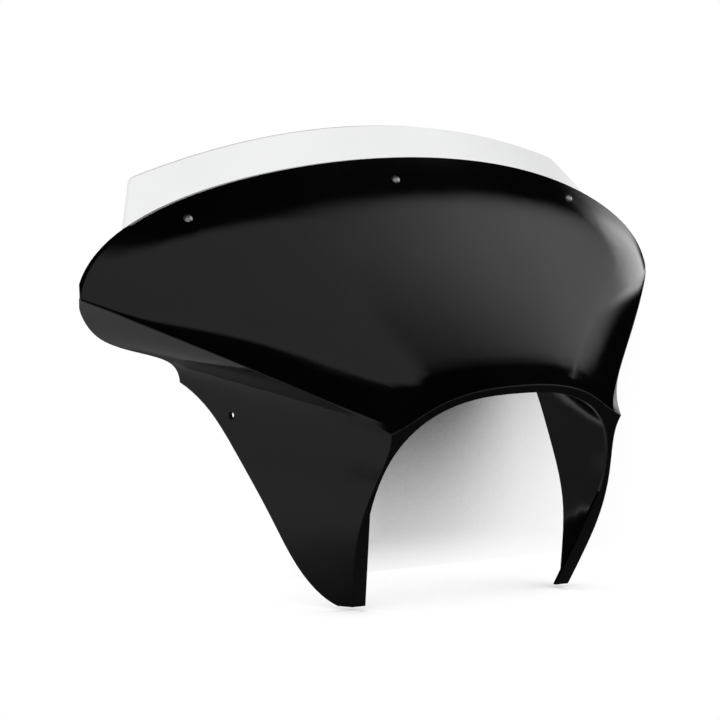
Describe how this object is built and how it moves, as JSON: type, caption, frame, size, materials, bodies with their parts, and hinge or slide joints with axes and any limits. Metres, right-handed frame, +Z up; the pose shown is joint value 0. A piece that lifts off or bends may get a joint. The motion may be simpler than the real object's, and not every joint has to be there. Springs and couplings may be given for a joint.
{
  "type": "batwing fairing",
  "caption": "Wide gloss-black motorbike fairing with a headlight arch between two legs, swept wings and a short clear screen.",
  "frame": {"origin": "middle of the line through the two mounting holes in the legs", "axes": "+X along that line, to the right as seen from the front; +Y back towards the rider; +Z up"},
  "size_m": [0.7066, 0.2904, 0.459],
  "materials": {
    "shell_black": "polished moulded plastic",
    "screen_clear": "clear sheet",
    "screw_steel": "turned",
    "nut_rubber": "matt",
    "insert_brass": "turned"
  },
  "bodies": {
    "root": {"fairing_shell": "shell_black", "windscreen": "screen_clear", "screen_screws": "screw_steel", "well_nuts": "nut_rubber", "well_nut_inserts": "insert_brass"}
  },
  "joints": []
}
